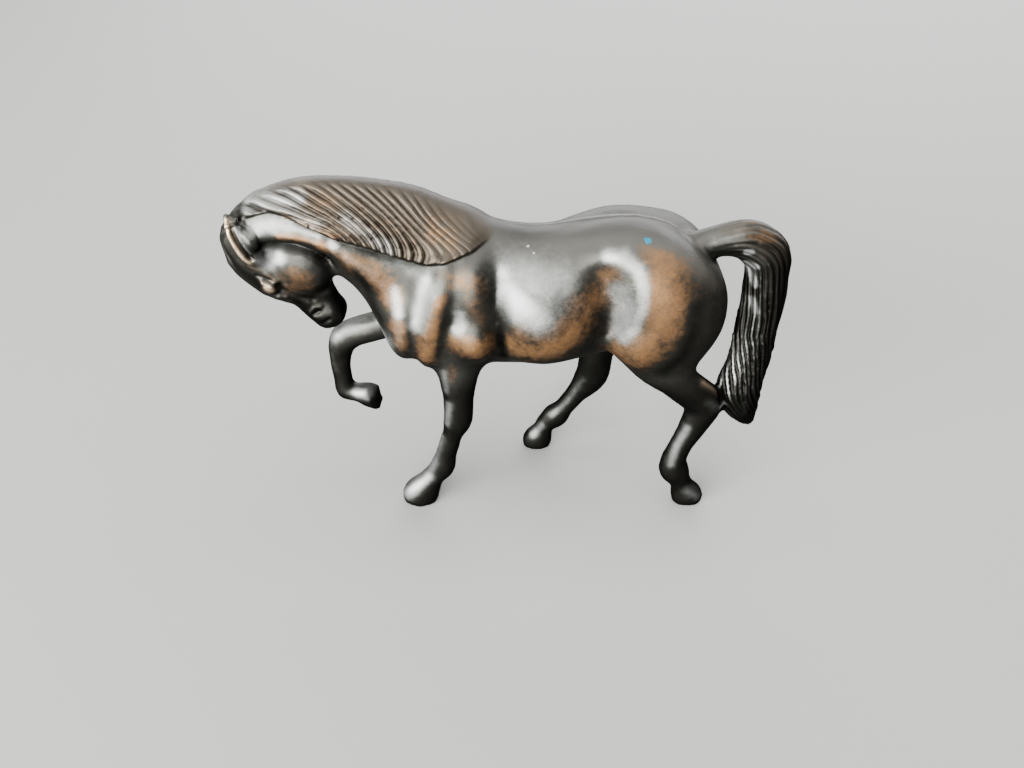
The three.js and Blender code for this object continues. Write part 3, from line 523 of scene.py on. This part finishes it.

# Painted shade: the legs, the muzzle and the lower tail are darkened, the tail most along its back
# edge
shaded_legs = 0.85 * ramp(z, 34, 29)
shaded_muzzle = ramp(x + 0.4 * z, -20.8, -19.0) * ramp(x, -28.5, -29.5)
shaded_muzzle *= ramp(z, 47, 45.5) * ramp(z, 38, 39)
shaded_tail = in_tail * ramp(tail_run, 12, 18) * (0.75 + 0.25 * stroke(TAIL_BACK, 2.6))
shaded = np.maximum.reduce([painted(SHADED), shaded_legs, shaded_muzzle, shaded_tail])

# The copper wear, held back where shade is painted
rubbed = painted(RUBBED) * np.maximum(upright, in_hair) + 1.2 * np.maximum(ridge, 0) - 0.8 * shaded
bright_strands = ramp(tail_furrows, 0.4, 0.1) * (0.7 + 0.9 * tail_threads) * painted(TAIL_GLINTS)
glints = np.maximum(painted(TAIL_HIGHLIGHT_SPOTS), bright_strands) * in_tail * clear_of_seam
# Painted highlight: the silver strokes, the tail's glints and the line of the filed fin
silver_and_highlight = np.clip(painted(SILVER_AND_HIGHLIGHTS) + glints + 0.7 * fin, 0, 1)
# Real patina in concave hollows, and painted shade from the dark strokes, legs, muzzle and tail
hollow_and_shade = np.clip(
    0.95 * shaded - 2.0 * np.minimum(ridge, 0) * (1 - in_hair) - 0.2 * bulge, 0, 1)
polished = np.maximum.reduce([
    on_ear * stroke(EAR_RIM, 0.55) * ramp(z, 62.4, 61.2),
    0.75 * off_middle * stroke(EYEBALL, 0.65),
    0.12 * off_middle * stroke(BROW, 0.45),
    0.35 * stroke(HOCK_CRUST, 0.45) * ramp(y, -7, -8.2),
])
in_furrows = (
    combed * (0.75 + 0.5 * mane_threads)
    + in_tail * (0.8 + 0.4 * tail_threads) * ramp(tail_run, 0, 24))
brown_hair = in_mane * ramp(x, -45, -38) + in_tail * 0.6 * stroke(TAIL_TOP, 2.2)
skin.write()

mesh = casting.data
for name, values in (
    ("rubbed", np.clip(rubbed, 0, 1)),
    ("silver_and_highlight", silver_and_highlight),
    ("polished", polished),
    ("hollow_and_shade", hollow_and_shade * (1 - 0.85 * silver_and_highlight)),
    ("combed", np.clip(in_furrows, 0, 1)),
    ("brown_hair", np.clip(brown_hair, 0, 1)),
    # Painted light from above: the upward-facing parts of the back
    ("lit_from_above", ramp(normals[:, 2], 0.35, 0.85) * ramp(z, 47, 53)),
):
    layer = mesh.attributes.new(name, "FLOAT", "POINT")
    layer.data.foreach_set("value", values)
# Which way each point lies around its strand, as a direction, so that it blends between points
turn = 2 * math.pi * np.where(in_tail > 0, tail_phase, mane_phase)
layer = mesh.attributes.new("strand", "FLOAT_VECTOR", "POINT")
layer.data.foreach_set("vector", np.stack([np.cos(turn), np.sin(turn), 0 * turn], 1).ravel())

for face in mesh.polygons:
    face.use_smooth = True

# The finish: copper plate under a blue-black patina. Where the buff took the patina off, brown
# copper fades into the dark, and a thin lacquer gives it all a satin sheen. Silver grey is painted
# highlight, the darkest patina also serves as painted shade, and the back's upward-facing parts are
# painted greyer and duller as light from above. A fleck of paint and two of lint stick to it.
PATINA = (0.0125, 0.0122, 0.0108, 1)
GREY_PATINA_AND_TOP_LIGHT = (0.021, 0.0205, 0.0185, 1)
DEEP_PATINA_AND_SHADE = (0.0022, 0.0021, 0.0018, 1)
FURROW_BROWN = (0.0034, 0.0026, 0.0019, 1)
COPPER = (0.047, 0.0232, 0.0092, 1)
WARM_BROWN = (0.027, 0.0172, 0.0104, 1)
SILVER_HIGHLIGHT_GREY = (0.11, 0.112, 0.108, 1)
CREAM = (0.21, 0.155, 0.105, 1)
HAIR_BROWN = (0.0165, 0.0135, 0.0102, 1)
TEAL_PAINT = (0.003, 0.045, 0.068, 1)
LINT = (0.10, 0.096, 0.09, 1)
# Where each fleck sits, its radius and its colour
FLECKS = (
    ((22.4, -6.5, 59.0), 0.75, TEAL_PAINT),
    ((3.1, -4.4, 56.9), 0.28, LINT),
    ((4.1, -5.5, 56.2), 0.24, LINT),
)
PIT_DEPTH = 0.1           # of the finish's fine unevenness, in millimetres


class Value:
    """A socket that takes part in sums, which add Math nodes to its material"""

    def __init__(self, shader, socket):
        self.shader = shader
        self.socket = socket

    def join(self, operation, *values):
        return self.shader.node("ShaderNodeMath", {"operation": operation}, values)

    def __add__(self, other): return self.join("ADD", self, other)
    def __radd__(self, other): return self.join("ADD", other, self)
    def __sub__(self, other): return self.join("SUBTRACT", self, other)
    def __rsub__(self, other): return self.join("SUBTRACT", other, self)
    def __mul__(self, other): return self.join("MULTIPLY", self, other)
    def __rmul__(self, other): return self.join("MULTIPLY", other, self)


class Finish:
    """One material's node tree"""

    def __init__(self, name):
        self.material = bpy.data.materials.new(name)
        self.material.use_nodes = True
        self.tree = self.material.node_tree
        self.surface = self.tree.nodes["Principled BSDF"]

    def feed(self, socket, value):
        if isinstance(value, Value):
            self.tree.links.new(value.socket, socket)
        else:
            socket.default_value = value

    def node(self, kind, settings, values, output=0):
        made = self.tree.nodes.new(kind)
        for name, setting in settings.items():
            setattr(made, name, setting)
        pairs = values.items() if isinstance(values, dict) else enumerate(values)
        for socket, value in pairs:
            self.feed(made.inputs[socket], value)
        return Value(self, made.outputs[output])

    def attribute(self, name, output="Fac"):
        return self.node("ShaderNodeAttribute", {"attribute_name": name}, {}, output)

    def place(self):
        return self.node("ShaderNodeTexCoord", {}, {}, "Object")

    def noise(self, size, detail, rough=0.5, seed=0.0):
        """Noise from 0 to 1, with features about `size` millimetres across"""
        return self.node(
            "ShaderNodeTexNoise",
            {"noise_dimensions": "4D"},
            {
                "Vector": self.place(), "W": seed, "Scale": 1 / (size * MM),
                "Detail": detail, "Roughness": rough,
            },
            "Fac",
        )

    def step(self, value, low, high):
        """A smooth step, from 0 at `low` to 1 at `high`"""
        return self.node(
            "ShaderNodeMapRange",
            {"interpolation_type": "SMOOTHSTEP"},
            {"Value": value, "From Min": low, "From Max": high},
        )

    def blend(self, share, first, second):
        """Colour mix: `first` where share is 0 and `second` where it is 1"""
        return self.node("ShaderNodeMix", {"data_type": "RGBA"}, {0: share, 6: first, 7: second}, 2)

    def spot(self, centre, radius):
        """1 within `radius` of a point on the object, in millimetres, with a ragged edge"""
        away = self.node(
            "ShaderNodeVectorMath",
            {"operation": "DISTANCE"},
            {0: self.place(), 1: tuple(part * MM for part in centre)},
            "Value",
        )
        ragged = away + (self.noise(0.5, 1) - 0.5) * (radius * MM)
        return self.step(ragged, radius * MM, radius * MM * 0.6)


finish = Finish("antiqued_copper")
hair = finish.attribute("brown_hair")
top_light = finish.attribute("lit_from_above")
cavity_and_shade = finish.attribute("hollow_and_shade")
cloud = finish.noise(5, 4, 0.6)
mottle = finish.noise(1.0, 4, 0.65, 3)
smudge = finish.noise(2.6, 3, 0.6, 8)
speckle = finish.noise(0.42, 3, 0.65, 5)

# The buff's work, from a brown haze to bare copper, and the painted highlight on the thinned patina
worn = finish.attribute("rubbed") + (cloud - 0.5) * 0.5 + (mottle - 0.5) * 0.9
worn = worn - finish.step(smudge, 0.45, 0.75) * 0.4
brown = finish.step(worn, 0.0, 0.6)
bare = finish.step(worn, 0.2, 1.25)
highlight_amount = finish.attribute("silver_and_highlight") + (cloud - 0.5) * 0.3 + (mottle - 0.5) * 0.5
highlight_grey = finish.step(highlight_amount, 0.05, 1.15)
thin = finish.step(cloud + (mottle - 0.5) * 0.3, 0.4, 0.8)

# Dark furrows between the strands, from the cosine of the turn around each strand and of twice it
strand = finish.node(
    "ShaderNodeVectorMath", {"operation": "NORMALIZE"}, [finish.attribute("strand", "Vector")])
cosine = finish.node("ShaderNodeSeparateXYZ", {}, [strand])
double = cosine * cosine * 2 - 1
furrows = finish.step(cosine + double * 0.4 + (mottle - 0.5) * 1.4, -0.7, 0.8)
furrows = furrows * finish.attribute("combed")

# Greyer patina at random, and on the back's upward-facing parts as painted light from above
patina = finish.blend(thin * 0.4 + top_light * 0.6, PATINA, GREY_PATINA_AND_TOP_LIGHT)
patina = finish.blend(hair, patina, HAIR_BROWN)
colour = finish.blend(brown, patina, WARM_BROWN)
colour = finish.blend(bare, colour, COPPER)
# Painted highlight: silver grey on the thinned patina
colour = finish.blend(highlight_grey * 0.8, colour, SILVER_HIGHLIGHT_GREY)
colour = finish.blend(finish.attribute("polished"), colour, CREAM)
colour = finish.blend(brown * finish.step(speckle, 0.5, 0.32) * 0.5, colour, PATINA)
colour = finish.blend(furrows * 0.92, colour, finish.blend(hair, DEEP_PATINA_AND_SHADE, FURROW_BROWN))
# Painted shade, with the real patina left thick in the hollows
colour = finish.blend(cavity_and_shade * 0.9, colour, DEEP_PATINA_AND_SHADE)
for centre, radius, tint in FLECKS:
    colour = finish.blend(finish.spot(centre, radius), colour, tint)

surface = finish.surface
finish.feed(surface.inputs["Base Color"], colour)
finish.feed(surface.inputs["Metallic"], 0.97 - bare * 0.35 - top_light * 0.45)
finish.feed(
    surface.inputs["Roughness"], 0.40 + mottle * 0.14 - cavity_and_shade * 0.08 + bare * 0.05 + highlight_grey * 0.06)
height = mottle * 0.5 + speckle * 0.5 - furrows * 1.2
pits = {"Height": height, "Strength": 0.5, "Distance": PIT_DEPTH * MM}
finish.feed(surface.inputs["Normal"], finish.node("ShaderNodeBump", {}, pits, "Normal"))
surface.inputs["Specular IOR Level"].default_value = 0.2
surface.inputs["Specular Tint"].default_value = (0.25, 0.25, 0.25, 1)
mesh.materials.append(finish.material)

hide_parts("horse")
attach(casting, "root")

# The studio: a pale plain floor, one broad soft light low in front, weaker ones above, beside and
# behind, and the camera where the photograph was taken from.
FLOOR_GREY = (0.07, 0.0695, 0.068, 1)
ROOM_LIGHT = (0.9, 0.92, 0.95, 1)
HORSE_MIDDLE = (0, 0, 0.05)

floor_mesh = bpy.data.meshes.new("floor")
floor_form = bmesh.new()
bmesh.ops.create_grid(floor_form, x_segments=1, y_segments=1, size=3)
floor_form.to_mesh(floor_mesh)
floor_form.free()
floor = bpy.data.objects.new("floor", floor_mesh)
bpy.context.collection.objects.link(floor)
floor_paint = Finish("floor_paint")
floor_paint.surface.inputs["Base Color"].default_value = FLOOR_GREY
floor_paint.surface.inputs["Roughness"].default_value = 0.8
floor_mesh.materials.append(floor_paint.material)


def soft_light(name, place, target, width, height, power, tint=(1, 1, 1)):
    lamp = bpy.data.lights.new(name, "AREA")
    lamp.shape = "RECTANGLE"
    lamp.size = width
    lamp.size_y = height
    lamp.energy = power
    lamp.color = tint
    holder = bpy.data.objects.new(name, lamp)
    bpy.context.collection.objects.link(holder)
    holder.location = place
    holder.rotation_euler = (Vector(target) - Vector(place)).to_track_quat("-Z", "Y").to_euler()


soft_light("window", (-0.44, -0.60, 0.24), HORSE_MIDDLE, 0.95, 0.44, 150, (0.98, 1, 0.99))
soft_light("ceiling", (0.0, -0.1, 1.0), (0, 0, 0.04), 1.2, 1.0, 60, (1, 0.99, 0.96))
soft_light("room", (0.75, 0.25, 0.55), HORSE_MIDDLE, 1.0, 0.8, 18, (1, 0.98, 0.95))
soft_light("wall", (0.1, 0.75, 0.36), HORSE_MIDDLE, 1.2, 0.45, 30)

world = bpy.data.worlds.new("room")
world.use_nodes = True
world.node_tree.nodes["Background"].inputs["Color"].default_value = ROOM_LIGHT
world.node_tree.nodes["Background"].inputs["Strength"].default_value = 0.35
bpy.context.scene.world = world

camera_data = bpy.data.cameras.new("camera")
camera_data.sensor_width = 36
camera_data.lens = 28.125
camera_data.clip_start = 0.005
camera = bpy.data.objects.new("camera", camera_data)
bpy.context.collection.objects.link(camera)
camera.location = (0.00051, -0.12208, 0.120)
camera.rotation_euler = (math.radians(52), 0, 0)
bpy.context.scene.camera = camera
